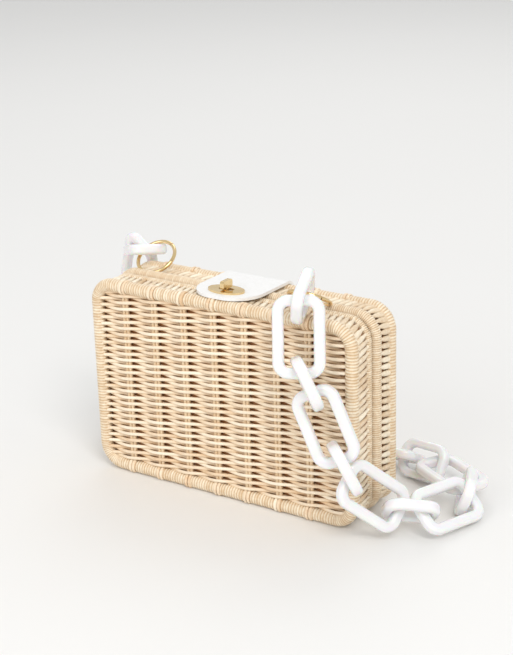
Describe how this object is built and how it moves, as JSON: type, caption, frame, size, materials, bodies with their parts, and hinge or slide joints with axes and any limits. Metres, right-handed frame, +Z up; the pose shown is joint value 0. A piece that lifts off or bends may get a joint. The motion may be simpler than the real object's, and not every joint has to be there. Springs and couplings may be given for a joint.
{
  "type": "basket box bag",
  "caption": "Small woven cane box bag that opens like a case, with a leather flap, a turn lock and a pale resin link strap.",
  "frame": {"origin": "centre of the base, on the floor, in the plane where the two trays part", "axes": "+X to the bag's left as it faces the viewer's right, along its width; +Y towards its back; +Z up"},
  "size_m": [0.3048, 0.1404, 0.1703],
  "materials": {
    "cane_wrap": "satin",
    "woven_cane": "satin",
    "cane_stakes": "satin",
    "leather": "satin",
    "gold_metal": "gloss",
    "resin": "gloss"
  },
  "bodies": {
    "back_shell": {"back_border": "cane_wrap", "back_rim": "cane_wrap", "back_side": "woven_cane", "back_stakes": "cane_stakes", "back_weave": "woven_cane", "flap_rivet_washers": "gold_metal", "flap_rivets": "gold_metal", "flap_tail": "leather", "left_ring": "gold_metal", "left_ring_gate_pin": "gold_metal", "right_ring": "gold_metal", "right_ring_gate_pin": "gold_metal", "strap_link_01": "resin", "strap_link_02": "resin", "strap_link_03": "resin", "strap_link_04": "resin", "strap_link_05": "resin", "strap_link_06": "resin", "strap_link_07": "resin", "strap_link_08": "resin", "strap_link_09": "resin", "strap_link_10": "resin", "strap_link_11": "resin", "strap_link_12": "resin", "strap_link_13": "resin", "strap_link_14": "resin", "strap_link_15": "resin", "strap_link_16": "resin", "strap_link_17": "resin", "strap_link_18": "resin", "strap_link_19": "resin", "strap_link_20": "resin", "strap_link_21": "resin", "strap_link_22": "resin", "strap_link_23": "resin"},
    "front_shell": {"front_border": "cane_wrap", "front_rim": "cane_wrap", "front_side": "woven_cane", "front_weave": "woven_cane", "front_stakes": "cane_stakes", "left_hinge_loop": "cane_wrap", "right_hinge_loop": "cane_wrap", "lock_base": "gold_metal", "lock_rivets": "gold_metal", "lock_backplate": "gold_metal"},
    "flap": {"flap": "leather", "flap_lock_plate": "gold_metal"},
    "turn_knob": {"lock_knob": "gold_metal"},
    "left_gate": {"left_ring_gate": "gold_metal"},
    "right_gate": {"right_ring_gate": "gold_metal"}
  },
  "joints": [
    {"name": "front_shell_hinge", "type": "hinge", "parent": "back_shell", "child": "front_shell", "pos_m": [0, 0.0055, 0.0045], "axis": [1, 0, 0], "range_deg": [0, 75], "deforming": ["strap_link_01", "strap_link_02", "strap_link_03", "strap_link_04", "strap_link_05", "strap_link_06", "strap_link_07", "strap_link_08"]},
    {"name": "flap_bend", "type": "hinge", "parent": "back_shell", "child": "flap", "pos_m": [0, 0.0245, 0.1423], "axis": [-1, 0, 0], "range_deg": [0, 130]},
    {"name": "knob_turn", "type": "hinge", "parent": "front_shell", "child": "turn_knob", "pos_m": [0, -0.012, 0.1437], "axis": [0, 0, 1], "range_deg": [0, 90]},
    {"name": "left_gate_hinge", "type": "hinge", "parent": "back_shell", "child": "left_gate", "pos_m": [-0.0653, 0.01658, 0.14605], "axis": [0, -0.5878, 0.809], "range_deg": [0, 30], "stiffness_Nm_per_rad": 0.0002},
    {"name": "right_gate_hinge", "type": "hinge", "parent": "back_shell", "child": "right_gate", "pos_m": [0.07186, -0.00031, 0.14163], "axis": [0, -0.5299, -0.848], "range_deg": [0, 30], "stiffness_Nm_per_rad": 0.0002}
  ]
}
